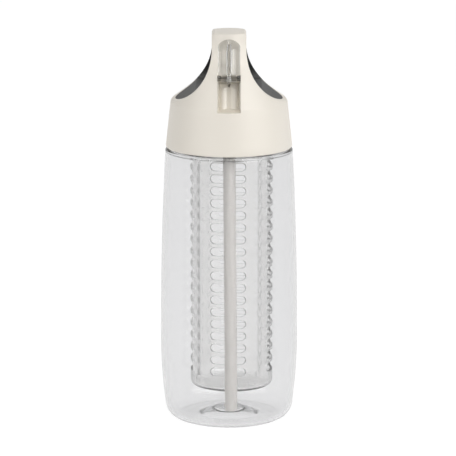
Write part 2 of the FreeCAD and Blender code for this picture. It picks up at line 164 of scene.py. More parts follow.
def revolved(profile: Array, segments: int, centre: tuple = (0.0, 0.0)) -> Surface:
    """Turn a profile of (radius, height) rows about a vertical axis.

    Point (i, j) is (r_i cos a_j, r_i sin a_j, z_i) with a_j = 2 pi j / segments.

    Args:
        profile: Rows of radius and height.
        segments: Points around the axis.
        centre: X and Y of the axis.

    Returns:
        Points and quads.
    """
    angle = np.arange(segments) * FULL_TURN / segments
    radius, height = profile[:, :1], profile[:, 1:]
    points = np.stack(np.broadcast_arrays(
        centre[0] + radius * np.cos(angle),
        centre[1] + radius * np.sin(angle),
        height), -1)
    return points.reshape(-1, 3), grid_faces(len(profile), segments)


def joined(parts: list[Surface]) -> Surface:
    """Put several sets of points and quads into one.

    Args:
        parts: The sets.

    Returns:
        All points, and the quads with their point numbers moved along.
    """
    offsets = np.cumsum([0] + [len(points) for points, _ in parts[:-1]])
    points = np.concatenate([points for points, _ in parts])
    faces = np.concatenate([quads + shift for (_, quads), shift in zip(parts, offsets)])
    return points, faces


def smooth(mesh: bpy.types.Mesh, angle: float) -> None:
    """Shade a mesh smooth.

    Args:
        mesh: The mesh.
        angle: Edges sharper than this, in degrees, stay crisp.
    """
    mesh.polygons.foreach_set("use_smooth", np.ones(len(mesh.polygons), bool))
    mesh.set_sharp_from_angle(angle=math.radians(angle))
    mesh.update()


def weld(mesh: bpy.types.Mesh) -> float:
    """Merge points that lie within the weld reach of each other.

    Args:
        mesh: The mesh to weld.

    Returns:
        The signed volume of the welded mesh.
    """
    bm = bmesh.new()
    bm.from_mesh(mesh)
    bmesh.ops.remove_doubles(bm, verts=bm.verts, dist=WELD_REACH)
    volume = bm.calc_volume(signed=True)
    bm.to_mesh(mesh)
    bm.free()
    return volume


def linked(name: str, data: bpy.types.ID) -> Piece:
    """Make an object of a mesh, a lamp or a camera and link it to the scene.

    Args:
        name: Name of the object.
        data: What it shows.

    Returns:
        The new object, at the origin.
    """
    made = bpy.data.objects.new(name, data)
    bpy.context.scene.collection.objects.link(made)
    return made


def surface_piece(name: str, surface: Surface, angle: float = CRISP_ANGLE) -> Piece:
    """Make an object of points and quads, with its poles and seams closed.

    Args:
        name: Name of the piece.
        surface: Points in metres and quads.
        angle: Edges sharper than this, in degrees, stay crisp.

    Returns:
        The new object, at the origin.
    """
    points, quads = surface
    mesh = bpy.data.meshes.new(name)
    mesh.from_pydata(points, [], quads)
    if weld(mesh) < 0:
        mesh.flip_normals()
    smooth(mesh, angle)
    return linked(name, mesh)


def node_copy(name: str, node: str, angle: float, swell: float = 0.0) -> Piece:
    """Make a welded, smooth copy of a CAD node.

    Args:
        name: Name of the copy.
        node: The CAD node.
        angle: Edges sharper than this, in degrees, stay crisp.
        swell: How far each point moves out along its normal.

    Returns:
        The copy, at the origin.
    """
    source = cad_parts[node].data
    mesh = bpy.data.meshes.new(name)
    corners = np.empty(len(source.vertices) * 3)
    source.vertices.foreach_get("co", corners)
    faces = np.empty(len(source.loops), np.int64)
    source.loops.foreach_get("vertex_index", faces)
    mesh.from_pydata(corners.reshape(-1, 3), [], faces.reshape(-1, 3))
    weld(mesh)
    points = np.empty(len(mesh.vertices) * 3)
    normals = np.empty_like(points)
    mesh.vertices.foreach_get("co", points)
    mesh.vertices.foreach_get("normal", normals)
    mesh.vertices.foreach_set("co", points + swell * normals)
    smooth(mesh, angle)
    return linked(name, mesh)


def dress(piece: Piece, material: Material) -> None:
    """Give a piece one finish."""
    piece.data.materials.clear()
    piece.data.materials.append(material)


def place(piece: Piece, body: Body, slot: Slot, material: Material, *nodes: str) -> None:
    """Dress a piece, let it ride on a body and stand for CAD nodes.

    Args:
        piece: The piece.
        body: What it moves with.
        slot: Material slot of the record; not used.
        material: Its finish.
        nodes: CAD nodes that it stands for.
    """
    dress(piece, material)
    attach(piece, body.value)
    if nodes:
        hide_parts(*nodes)
    LOG.info("%s rides on %s: %d faces", piece.name, body.value, len(piece.data.polygons))


def dress_node(node: str, material: Material) -> None:
    """Give a CAD node its finish."""
    dress(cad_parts[node], material)
    LOG.info("%s keeps its CAD shape", node)


class Tree:
    """Short hand for building one node tree."""

    def __init__(self, tree: NodeTree) -> None:
        """Keep the tree that the nodes go into."""
        self.tree = tree

    def node(self, kind: str, **settings: object) -> Node:
        """Add a node and set its properties.

        Args:
            kind: Type name of the node.
            settings: Its properties by name.

        Returns:
            The new node.
        """
        made = self.tree.nodes.new(kind)
        for key, value in settings.items():
            setattr(made, key, value)
        return made

    def link(self, source: Socket, target: Socket) -> None:
        """Join an output to an input."""
        self.tree.links.new(source, target)

    def feed(self, target: Socket, value: object) -> None:
        """Set an input to a plain value or join an output to it.

        Args:
            target: The input.
            value: Plain value or output socket.
        """
        if isinstance(value, Socket):
            self.link(value, target)
        else:
            target.default_value = value

    def maths(self, operation: str, first: object, second: object) -> Socket:
        """Add a Math node.

        Args:
            operation: Name of the operation.
            first: Socket or number.
            second: Socket or number.

        Returns:
            The result socket.
        """
        made = self.node("ShaderNodeMath", operation=operation)
        self.feed(made.inputs[0], first)
        self.feed(made.inputs[1], second)
        return made.outputs[0]

    def span(self, value: Socket, low: float, high: float) -> Socket:
        """Carry a value from 0..1 to another range.

        Args:
            value: The value's socket.
            low: What 0 becomes.
            high: What 1 becomes.

        Returns:
            The result socket.
        """
        made = self.node("ShaderNodeMapRange")
        self.link(value, made.inputs["Value"])
        made.inputs["To Min"].default_value = low
        made.inputs["To Max"].default_value = high
        return made.outputs["Result"]

    def step(self, value: Socket, ends: tuple) -> Socket:
        """Smooth step from 0 to 1.

        Args:
            value: The value's socket.
            ends: Where the step starts and where it is done.

        Returns:
            The result socket.
        """
        made = self.node("ShaderNodeMapRange", interpolation_type="SMOOTHSTEP")
        self.link(value, made.inputs["Value"])
        made.inputs["From Min"].default_value, made.inputs["From Max"].default_value = ends
        return made.outputs["Result"]

    def blend(self, factor: Socket, first: tuple, second: tuple) -> Socket:
        """Mix two colours by a factor.

        Args:
            factor: Mixing socket, 0 for the first colour.
            first: Linear RGB.
            second: Linear RGB.

        Returns:
            The mixed colour socket.
        """
        made = self.node("ShaderNodeMix", data_type="RGBA")
        colours = [s for s in made.inputs if s.type == "RGBA"]
        self.link(factor, made.inputs["Factor"])
        colours[0].default_value = (*first, 1)
        colours[1].default_value = (*second, 1)
        return next(s for s in made.outputs if s.type == "RGBA")

    def noise(self, vector: Socket, scale: Socket, detail: float) -> Socket:
        """Add a noise texture.

        Args:
            vector: Where the noise is read.
            scale: Socket of its scale.
            detail: Number of its octaves.

        Returns:
            The noise's value socket.
        """
        made = self.node("ShaderNodeTexNoise")
        self.link(vector, made.inputs["Vector"])
        self.link(scale, made.inputs["Scale"])
        made.inputs["Detail"].default_value = detail
        return made.outputs[0]


def new_group(name: str, inputs: dict[str, str],
              outputs: tuple[str, ...]) -> tuple[Tree, Node, Node]:
    """Start a shader node group with named sockets.

    Args:
        name: Name of the group.
        inputs: Socket type of each input.
        outputs: Names of the value outputs.

    Returns:
        The tree, its input node and its output node.
    """
    group = bpy.data.node_groups.new(name, "ShaderNodeTree")
    for label, kind in inputs.items():
        group.interface.new_socket(name=label, in_out="INPUT", socket_type=kind)
    for label in outputs:
        group.interface.new_socket(name=label, in_out="OUTPUT", socket_type="NodeSocketFloat")
    tree = Tree(group)
    return tree, tree.node("NodeGroupInput"), tree.node("NodeGroupOutput")


def moulded_skin_group() -> NodeTree:
    """Skin of a moulded plastic: slow flow tone, fine tool grain and their sum as a height.

    Returns:
        The group, with Tone, Grain and Height outputs.
    """
    inputs = {"Vector": "NodeSocketVector", "Flow Scale": "NodeSocketFloat",
              "Grain Scale": "NodeSocketFloat", "Grain Share": "NodeSocketFloat"}
    tree, start, end = new_group("moulded_skin", inputs, ("Tone", "Grain", "Height"))
    flow = tree.noise(start.outputs["Vector"], start.outputs["Flow Scale"], FLOW_DETAIL)
    grain = tree.noise(start.outputs["Vector"], start.outputs["Grain Scale"], GRAIN_DETAIL)
    fine = tree.maths("MULTIPLY", grain, start.outputs["Grain Share"])
    tree.link(flow, end.inputs["Tone"])
    tree.link(grain, end.inputs["Grain"])
    tree.link(tree.maths("ADD", flow, fine), end.inputs["Height"])
    return tree.tree


def handling_marks_group() -> NodeTree:
    """Faint rub marks that run round the piece, as thin streaks of a stretched noise.

    Returns:
        The group, with a Marks output from 0 to 1.
    """
    inputs = {"Vector": "NodeSocketVector", "Scale": "NodeSocketFloat"}
    tree, start, end = new_group("handling_marks", inputs, ("Marks",))
    stretch = tree.node("ShaderNodeMapping")
    stretch.inputs["Rotation"].default_value = MARK_TURN
    stretch.inputs["Scale"].default_value = MARK_STRETCH
    tree.link(start.outputs["Vector"], stretch.inputs["Vector"])
    streak = tree.noise(stretch.outputs["Vector"], start.outputs["Scale"], MARK_DETAIL)
    patch = tree.noise(start.outputs["Vector"], start.outputs["Scale"], PATCH_DETAIL)
    worn = tree.maths("MULTIPLY", streak, tree.span(patch, *PATCH_SPAN))
    tree.link(tree.step(worn, MARK_ENDS), end.inputs["Marks"])
    return tree.tree


@dataclass(frozen=True)
class Skin:
    """Scale and strength of a moulded surface."""

    flow_scale: float
    grain_scale: float
    grain_share: float
    depth: float
    marks_scale: float = 60.0


class Finish:
    """A Principled material with the shared skin and marks, ready for its colours."""

    groups: dict[str, NodeTree] = {}

    def __init__(self, name: str, skin: Skin) -> None:
        """Start the material.

        Args:
            name: Name of the material.
            skin: Its moulded surface.
        """
        self.material = bpy.data.materials.new(name)
        self.material.use_nodes = True
        self.material.node_tree.nodes.clear()
        self.tree = Tree(self.material.node_tree)
        self.shader = self.tree.node("ShaderNodeBsdfPrincipled")
        self.output = self.tree.node("ShaderNodeOutputMaterial")
        self.tree.link(self.shader.outputs[0], self.output.inputs["Surface"])
        self.place = self.tree.node("ShaderNodeTexCoord").outputs["Object"]
        self.skin = self.group("moulded_skin", moulded_skin_group)
        for label, value in (("Flow Scale", skin.flow_scale), ("Grain Scale", skin.grain_scale),
                             ("Grain Share", skin.grain_share)):
            self.skin.inputs[label].default_value = value
        self.marks = self.group("handling_marks", handling_marks_group)
        self.marks.inputs["Scale"].default_value = skin.marks_scale
        bump = self.tree.node("ShaderNodeBump")
        bump.inputs["Strength"].default_value = 1.0
        bump.inputs["Distance"].default_value = skin.depth
        self.tree.link(self.skin.outputs["Height"], bump.inputs["Height"])
        self.tree.link(bump.outputs["Normal"], self.shader.inputs["Normal"])

    def group(self, name: str, maker: Callable[[], NodeTree]) -> Node:
        """Place a shared group, built on first use, with the piece's own coordinates.

        Args:
            name: Name of the group.
            maker: Function that builds it.

        Returns:
            The group's node in this material.
        """
        if name not in self.groups:
            self.groups[name] = maker()
        made = self.tree.node("ShaderNodeGroup", node_tree=self.groups[name])
        self.tree.link(self.place, made.inputs["Vector"])
        return made

    def colours(self, low: tuple, high: tuple) -> None:
        """Let the base colour drift between two close colours."""
        drift = self.tree.blend(self.skin.outputs["Tone"], low, high)
        self.tree.link(drift, self.shader.inputs["Base Color"])

    def roughness(self, low: float, high: float, marks: float) -> None:
        """Let the roughness follow the grain and rise along the marks.

        Args:
            low: Least roughness.
            high: Most roughness away from the marks.
            marks: How much the marks add.
        """
        rub = self.tree.maths("MULTIPLY", self.marks.outputs["Marks"], marks)
        base = self.tree.span(self.skin.outputs["Grain"], low, high)
        self.tree.link(self.tree.maths("ADD", base, rub), self.shader.inputs["Roughness"])

    def constants(self, **values: object) -> None:
        """Set plain values on the shader's own sockets, by name with underscores."""
        for key, value in values.items():
            self.shader.inputs[key.replace("_", " ")].default_value = value

    def absorb(self, colour: tuple, density: float) -> None:
        """Darken the light along its way through the plastic, so thick edges look deeper.

        Args:
            colour: Linear RGB that long ways tend to.
            density: Strength per metre.
        """
        volume = self.tree.node("ShaderNodeVolumeAbsorption")
        volume.inputs["Color"].default_value = (*colour, 1)
        volume.inputs["Density"].default_value = density
        self.tree.link(volume.outputs[0], self.output.inputs["Volume"])

    def let_lamps_through(self, share: float) -> None:
        """Let lamp light straight through, so that what is inside is lit.

        Args:
            share: Share of the light that passes.
        """
        path = self.tree.node("ShaderNodeLightPath")
        held = self.tree.maths("MULTIPLY", path.outputs["Is Shadow Ray"], share)
        self.tree.link(self.tree.maths("SUBTRACT", 1.0, held), self.shader.inputs["Alpha"])


@dataclass(frozen=True)
class SatinPlastic:
    """Opaque satin moulding, which the other finishes build on."""

    name: str
    colour_low: tuple
    colour_high: tuple
    skin: Skin
    rough_low: float = 0.36
    rough_high: float = 0.5
    rub: float = 0.06
    ior: float = 1.49

    def material(self) -> Material:
        """Build the material.

        Returns:
            The finished material.
        """
        finish = Finish(self.name, self.skin)
        finish.colours(self.colour_low, self.colour_high)
        finish.roughness(self.rough_low, self.rough_high, self.rub)
        finish.constants(Metallic=0.0, IOR=self.ior)
        self.add_to(finish)
        return finish.material

    def add_to(self, finish: Finish) -> None:
        """Add what only this kind of finish has: nothing for plain satin."""


@dataclass(frozen=True)
class ClearPlastic(SatinPlastic):
    """Polished clear moulding, tinted at its faces and along the way through it."""

    rough_low: float = 0.01
    rough_high: float = 0.03
    rub: float = 0.05
    ior: float = 1.5
    depth_colour: tuple = (0.5, 0.5, 0.49)
    depth_density: float = 30.0
    lamp_share: float = 0.9

    def add_to(self, finish: Finish) -> None:
        """Let light through and tint it on its way.

        Args:
            finish: The finish in the making.
        """
        finish.constants(Transmission_Weight=1.0)
        finish.let_lamps_through(self.lamp_share)
        finish.absorb(self.depth_colour, self.depth_density)


@dataclass(frozen=True)
class SoftRubber(SatinPlastic):
    """Matt elastomer or silicone."""

    rub: float = 0.04
    ior: float = 1.45
    sheen: float = 0.0
    sheen_rough: float = 0.5

    def add_to(self, finish: Finish) -> None:
        """Add the soft sheen of fine rubber."""
        finish.constants(Sheen_Weight=self.sheen, Sheen_Roughness=self.sheen_rough)


@dataclass(frozen=True)
class FrostedTube(SatinPlastic):
    """Translucent extruded tube."""

    rough_low: float = 0.38
    rub: float = 0.05
    see_through: float = 0.35
    lamp_share: float = 0.5

    def add_to(self, finish: Finish) -> None:
        """Let part of the light through."""
        finish.constants(Transmission_Weight=self.see_through)
        finish.let_lamps_through(self.lamp_share)


@dataclass(frozen=True)
class ThreadForm:
    """Helical ridge of the neck and of the lid that screws on it."""

    pitch: float = 0.004
    turns: float = 1.45
    start_height: float = 0.1668
    ridge_height: float = 0.00065
    half_width: float = 0.0009
    fade: float = 0.5

    def strength(self, phase: Array) -> Array:
        """Share of the full height along the helix, which fades in and out at its ends.

        Args:
            phase: Angle along the helix, counted on over all its turns.

        Returns:
            A smooth step of the distance from the nearer end.
        """
        full = self.turns * FULL_TURN
        ends = np.clip(np.minimum(phase, full - phase) / self.fade, 0, 1)
        return ends * ends * (3 - 2 * ends)

    def ridge(self, offset: Array) -> Array:
        """Rounded ridge section: a squared cosine of the distance from the helix."""
        return np.cos(np.clip(np.abs(offset) / self.half_width, 0, 1) * math.pi / 2) ** 2

    def height_on_neck(self, angle: Array, height: Array) -> Array:
        """Ridge height over the neck at an angle and a height, summed over the turns.

        Args:
            angle: Angles from 0 to 2 pi.
            height: Heights, broadcast with the angles.

        Returns:
            How far the ridge stands off the neck.
        """
        total = np.zeros(np.broadcast(angle, height).shape)
        for lap in range(math.ceil(self.turns)):
            phase = angle + FULL_TURN * lap
            centre = self.start_height + self.pitch * phase / FULL_TURN
            total = total + self.strength(phase) * self.ridge(height - centre)
        return self.ridge_height * total


@dataclass
class BottleWall:
    """Clear barrel-shaped bottle with a domed base and a threaded neck."""

    belly_height: float = 0.048
    heel_radius: float = 0.0378
    heel_height: float = 0.0095
    foot_radius: float = 0.0288
    foot_width: float = 0.0123
    punt_height: float = 0.0048
    shoulder_radius: float = 0.0374
    shoulder_height: float = 0.1613
    shoulder_rounding: float = 0.0011
    roof_wall: float = 0.0009
    roof_rounding: float = 0.0012
    wall: float = 0.002
    neck_radius: float = 0.032
    neck_fillet: float = 0.0008
    rim_rounding: float = 0.0007
    ring_radii: tuple = (0.0085, 0.0150)
    ring_height: float = 0.00025
    ring_width: float = 0.0006
    quarter_share: float = 0.25
    segments: int = 192
    dome_points: int = 64
    foot_points: int = 5
    heel_points: int = 32
    lower_points: int = 14
    upper_points: int = 28
    shoulder_points: int = 10
    fillet_points: int = 6
    neck_points: int = 48
    roof_points: int = 8
    thread: ThreadForm = ThreadForm()

    def __post_init__(self) -> None:
        """Take the outer size from the CAD node."""
        _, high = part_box("bottle_body")
        self.belly_radius = high.x
        self.rim_height = high.z

    def barrel(self, belly: tuple, end: tuple, count: int) -> Array:
        """Shallow arc that leaves the belly upright, with a quarter of its drop at half length.

        Args:
            belly: Radius and height at the belly.
            end: Radius and height at the other end.
            count: Number of points.

        Returns:
            Rows of radius and height, from the belly on.
        """
        drop = belly[0] - end[0]
        middle = (belly[0] - self.quarter_share * drop, (belly[1] + end[1]) / 2)
        return arc_rows(belly, middle, end, count)

    def face_rows(self, inset: float, top: tuple) -> Array:
        """One face of the wall, from the middle of the base up to the shoulder.

        The base is a shallow dome, then the standing ring, a quarter ellipse and two arcs.

        Args:
            inset: Distance from the outer face.
            top: Radius and height where the wall ends.

        Returns:
            Rows of radius and height.
        """
        inner_foot = self.foot_radius - self.foot_width
        sphere = (inner_foot ** 2 + self.punt_height ** 2) / (2 * self.punt_height)
        radius = np.linspace(0, inner_foot, self.dome_points)
        height = inset + self.punt_height - (sphere - np.sqrt(sphere ** 2 - radius ** 2))
        if inset == 0:
            gaps = (radius[:, None] - np.array(self.ring_radii)) / self.ring_width
            height = height - self.ring_height * np.exp(-gaps ** 2).sum(1)
        turn = np.linspace(0, math.pi / 2, self.heel_points)[1:]
        heel = self.heel_radius - inset
        ellipse = np.stack([self.foot_radius + (heel - self.foot_radius) * np.sin(turn),
                            self.heel_height + (inset - self.heel_height) * np.cos(turn)], 1)
        belly = (self.belly_radius - inset, self.belly_height)
        return np.concatenate([
            np.stack([radius, height], 1),
            line_rows((inner_foot, inset), (self.foot_radius, inset), self.foot_points)[1:],
            ellipse,
            self.barrel(belly, (heel, self.heel_height), self.lower_points)[::-1][1:],
            self.barrel(belly, top, self.upper_points)[1:],
        ])

    def neck_rows(self) -> tuple[Array, Array]:
        """Shoulder and neck: outside up to the rim, then inside down to the shoulder.

        Returns:
            Outer and inner rows of radius and height.
        """
        fillet, rim, count = self.neck_fillet, self.rim_rounding, self.fillet_points
        bore = self.neck_radius - self.wall
        roof = self.shoulder_height - self.roof_wall
        inner = self.shoulder_radius - self.wall
        outside = np.concatenate([
            corner_rows((self.shoulder_radius, self.shoulder_height), (0, -1), (-1, 0),
                        self.shoulder_rounding, self.shoulder_points)[1:],
            corner_rows((self.neck_radius, self.shoulder_height), (1, 0), (0, 1), fillet, count),
            line_rows((self.neck_radius, self.shoulder_height + fillet),
                      (self.neck_radius, self.rim_height - rim), self.neck_points)[1:],
            corner_rows((self.neck_radius, self.rim_height), (0, -1), (-1, 0), rim, count)[1:],
        ])
        inside = np.concatenate([
            corner_rows((bore, self.rim_height), (1, 0), (0, -1), rim, count),
            corner_rows((bore, roof), (0, 1), (1, 0), fillet, count),
            corner_rows((inner, roof), (-1, 0), (0, -1), self.roof_rounding, self.roof_points),
        ])
        return outside, inside

    def surface(self) -> Surface:
        """The wall as a turned profile, with the thread added to the neck's radius.

        Returns:
            Points and quads.
        """
        turn_foot = self.shoulder_height - self.shoulder_rounding
        outer = self.face_rows(0, (self.shoulder_radius, turn_foot))
        roof_foot = self.shoulder_height - self.roof_wall - self.roof_rounding
        inner = self.face_rows(self.wall, (self.shoulder_radius - self.wall, roof_foot))
        outside, inside = self.neck_rows()
        profile = np.concatenate([outer, outside, inside, inner[::-1][1:]])
        points, quads = revolved(profile, self.segments)
        angle = np.arange(self.segments) * FULL_TURN / self.segments
        ridge = self.thread.height_on_neck(angle, profile[:, 1:])
        on_neck = np.zeros((len(profile), 1))
        on_neck[len(outer):len(outer) + len(outside)] = 1
        grown = 1 + (on_neck * ridge / np.maximum(profile[:, :1], self.wall)).reshape(-1, 1)
        return points * np.concatenate([grown, grown, np.ones_like(grown)], 1), quads

    def build(self, clear: Material) -> None:
        """Make the wall and let it stand for the CAD bottle."""
        piece = surface_piece("bottle_wall", self.surface())
        place(piece, Body.BOTTLE, Slot.CLEAR_BOTTLE, clear, "bottle_body")


@dataclass
class DrinkingStraw:
    """Frosted straw with softly rounded ends."""

    wall: float = 0.001
    segments: int = 64
    lean: float = 0.0075
    end_points: int = 9
    side_points: int = 24
    crisp_angle: float = 50.0

    def surface(self) -> Surface:
        """Tube section, a thin upright loop with half-round ends, turned about the straw's axis.

        The straw hangs a little askew from the cap: x moves by the lean times the drop.

        Returns:
            Points and quads.
        """
        low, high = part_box("straw")
        radius, half = (high.x - low.x) / 2, self.wall / 2
        centre = ((low.x + high.x) / 2, (low.y + high.y) / 2)
        turn = np.linspace(0, math.pi, self.end_points)[:, None]
        across, along = half * np.cos(turn), half * np.sin(turn)
        middle = radius - half
        top = np.concatenate([middle + across, high.z - half + along], 1)
        bottom = np.concatenate([middle - across, low.z + half - along], 1)
        side = line_rows(bottom[-1], top[0], self.side_points)[1:-1]
        back = line_rows(top[-1], bottom[0], self.side_points)[1:]
        profile = np.concatenate([bottom, side, top, back])
        points, quads = revolved(profile, self.segments, centre)
        points[:, 0] += self.lean * (high.z - points[:, 2])
        return points, quads

    def build(self, frosted: Material) -> None:
        """Make the tube and let it stand for the CAD straw."""
        piece = surface_piece("drinking_straw", self.surface(), self.crisp_angle)
        place(piece, Body.LID, Slot.STRAW, frosted, "straw")


@dataclass
class InfuserBasket:
    """Clear slotted tube: rounded slot lips, shallow flutes and a bayonet mouth."""

    wall: float = 0.0016
    heel_rounding: float = 0.003
    turn: float = math.radians(-5.5)
    slot_rows: int = 18
    slot_columns: int = 4
    slot_width: float = 0.020
    slot_height: float = 0.0048
    slot_pitch: float = 0.00722
    first_slot: float = 0.0309
    lip: float = 0.0005
    flute_radius: float = 0.0026
    flute_depth: float = 0.0007
    flute_fade: float = 0.002
    mouth_drop: float = 0.0087
    bayonet_low_drop: float = 0.0055
    bayonet_high_drop: float = 0.00315
    lug_count: int = 3
    lug_angle: float = math.radians(14.757)
    entry_angle: float = math.radians(15.514)
    sweep_angle: float = math.radians(40.757)
    edge_segments: int = 16
    end_segments: int = 10
    lip_points: int = 4
    outer_shares: tuple = (1.0, 0.95, 0.88, 0.8, 0.65, 0.4, 0.15)
    inner_shares: tuple = (0.3, 0.65, 1.0)
    base_points: int = 6
    heel_points: int = 12
    lower_points: int = 6
    upper_points: int = 8
    bore_points: int = 3

    def __post_init__(self) -> None:
        """Take the tube's size and place from the CAD node."""
        low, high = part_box("infuser_basket")
        self.centre = np.array([(low.x + high.x) / 2, (low.y + high.y) / 2])
        self.radius = (high.x - low.x) / 2
        self.foot, self.top = low.z, high.z
        self.half_cell = math.pi / self.slot_columns
        self.step = 2 * self.half_cell / self.edge_segments

    def outside(self, angle: Array, height: Array) -> Array:
        """Outer radius: the tube less a round flute between each two slot columns.

        A flute is a circle of the flute radius whose deepest point lies one flute depth
        inside the tube, and it fades out above and below the slots.

        Args:
            angle: Angle from the nearest slot column's middle.
            height: Height of the point.

        Returns:
            Radius at each point.
        """
        beside = self.half_cell - np.abs(angle)
        reach = self.radius - self.flute_depth + self.flute_radius
        root = self.flute_radius ** 2 - (reach * np.sin(beside)) ** 2
        groove = reach * np.cos(beside) - np.sqrt(np.maximum(root, 0))
        depth = np.where(root > 0, np.maximum(self.radius - groove, 0), 0)
        low, high = self.foot + self.heel_rounding, self.top - self.mouth_drop
        fade = np.clip(np.minimum(height - low, high - height) / self.flute_fade, 0, 1)
        return self.radius - depth * fade

    def around(self, angle: Array, radius: Array, height: Array) -> Array:
        """Points about the basket's axis.

        Args:
            angle: Their angles.
            radius: Their distances from the axis, broadcast with the angles.
            height: Their heights, broadcast too.

        Returns:
            Array whose last axis holds x, y and z.
        """
        x, y = self.centre
        return np.stack(np.broadcast_arrays(
            x + radius * np.cos(angle), y + radius * np.sin(angle), height), -1)

    def slot_loop(self, growth: float) -> tuple[Array, Array]:
        """Round-ended slot outline, clockwise from its upper left, grown by a margin.

        Args:
            growth: Margin outside the nominal slot.

        Returns:
            Sideways and upward offsets from the slot's middle.
        """
        half, run = self.slot_height / 2, (self.slot_width - self.slot_height) / 2
        along = np.linspace(-run, run, self.edge_segments + 1)[:-1]
        bend = np.linspace(math.pi / 2, -math.pi / 2, self.end_segments + 1)[:-1]
        flat = np.full(self.edge_segments, half + growth)
        side = np.concatenate([along, run + (half + growth) * np.cos(bend)])
        rise = np.concatenate([flat, (half + growth) * np.sin(bend)])
        return np.concatenate([side, -side]), np.concatenate([rise, -rise])

    def cell_loop(self) -> tuple[Array, Array]:
        """Border of a slot's cell, point for point with the slot's outline.

        Returns:
            Angles and upward offsets from the slot's middle.
        """
        half = self.slot_pitch / 2
        along = np.linspace(-self.half_cell, self.half_cell, self.edge_segments + 1)[:-1]
        drop = np.linspace(half, -half, self.end_segments + 1)[:-1]
        side = np.concatenate([along, np.full(self.end_segments, self.half_cell)])
        rise = np.concatenate([np.full(self.edge_segments, half), drop])
        return np.concatenate([side, -side]), np.concatenate([rise, -rise])

    def spread(self, ring: tuple, shares: tuple) -> list[tuple]:
        """Rings between a slot's outline, share 0, and its cell's border, share 1.

        Args:
            ring: Angles, rises and depths of the outline.
            shares: Place of each ring.

        Returns:
            Angles, rises and depths of the rings.
        """
        angle, rise, depth = ring
        border_angle, border_rise = self.cell_loop()
        return [((1 - s) * angle + s * border_angle, (1 - s) * rise + s * border_rise, depth)
                for s in shares]

    def slotted(self) -> Surface:
        """All slot cells: each runs from its border to the slot, over the lip and back inside.

        Row w of a cell moves from border to outline on the outer face, then round the lip
        through the wall, then out again on the inner face. The slot is cut straight along
        its own direction, so its sideways offset x lies at the angle asin(x / radius).

        Returns:
            Points and quads.
        """
        bend = np.linspace(0, math.pi / 2, self.lip_points)
        lips = [(self.lip * (1 - math.sin(b)), self.lip * (1 - math.cos(b))) for b in bend]
        lips += [(grow, self.wall - depth) for grow, depth in reversed(lips)]
        rows = []
        for growth, depth in lips:
            side, rise = self.slot_loop(growth)
            radius = self.radius - depth
            rows.append((np.arcsin(side / radius), rise, np.full(len(side), depth)))
        outer_rings = self.spread(rows[0], self.outer_shares)
        inner_rings = self.spread(rows[-1], self.inner_shares)
        rows = outer_rings + rows + inner_rings
        angle, rise, depth = (np.stack(part) for part in zip(*rows))
        levels = self.first_slot + self.slot_pitch * np.arange(self.slot_rows)
        columns = self.turn + 2 * self.half_cell * np.arange(self.slot_columns)
        height = rise + levels[:, None, None]
        face = np.where(depth > self.wall / 2, self.radius, self.outside(angle, height))
        turned = angle + columns[:, None, None, None]
        points = self.around(turned, (face - depth)[None], height[None])
        quads = grid_faces(*angle.shape)[:, ::-1]
        shifts = np.arange(self.slot_rows * self.slot_columns) * angle.size
        return points.reshape(-1, 3), (quads[None] + shifts[:, None, None]).reshape(-1, 4)

    def plain(self, rows: Array, fluted: bool) -> Surface:
        """Turned strip with the slot cells' own angles.

        Args:
            rows: Rows of radius and height.
            fluted: Whether the flutes run through it.

        Returns:
            Points and quads.
        """
        count = self.edge_segments * self.slot_columns
        local = np.arange(count) * self.step - self.half_cell
        radius, height = rows[:, :1], rows[:, 1:]
        if fluted:
            beside = (local + self.half_cell) % (2 * self.half_cell) - self.half_cell
            radius = radius - (self.radius - self.outside(beside, height))
        points = self.around(local + self.turn, radius, height)
        return points.reshape(-1, 3), grid_faces(len(rows), count)

    def base_rows(self, radius: float, foot: float, rounding: float) -> Array:
        """Flat bottom and its rounded heel.

        Args:
            radius: Radius of the tube's face.
            foot: Height of the bottom.
            rounding: Radius of the heel.

        Returns:
            Rows of radius and height, from the middle out and up.
        """
        return np.concatenate([
            line_rows((0, foot), (radius - rounding, foot), self.base_points)[:-1],
            corner_rows((radius, foot), (-1, 0), (0, 1), rounding, self.heel_points)])

    def strips(self) -> list[Surface]:
        """Bottom, heel and plain bands above and below the slots, outside and inside.

        Returns:
            Points and quads of each strip.
        """
        low = self.first_slot - self.slot_pitch / 2
        high = low + self.slot_pitch * self.slot_rows
        heel, mouth = self.foot + self.heel_rounding, self.top - self.mouth_drop
        radius, bore = self.radius, self.radius - self.wall
        outer_base = self.base_rows(radius, self.foot, self.heel_rounding)
        inner_base = self.base_rows(bore, self.foot + self.wall, self.heel_rounding - self.wall)
        return [
            self.plain(outer_base, False),
            self.plain(line_rows((radius, heel), (radius, low), self.lower_points), True),
            self.plain(np.concatenate([inner_base, [(bore, low)]])[::-1], False),
            self.plain(line_rows((radius, high), (radius, mouth), self.upper_points), True),
            self.plain(line_rows((bore, mouth), (bore, high), self.bore_points), False),
        ]

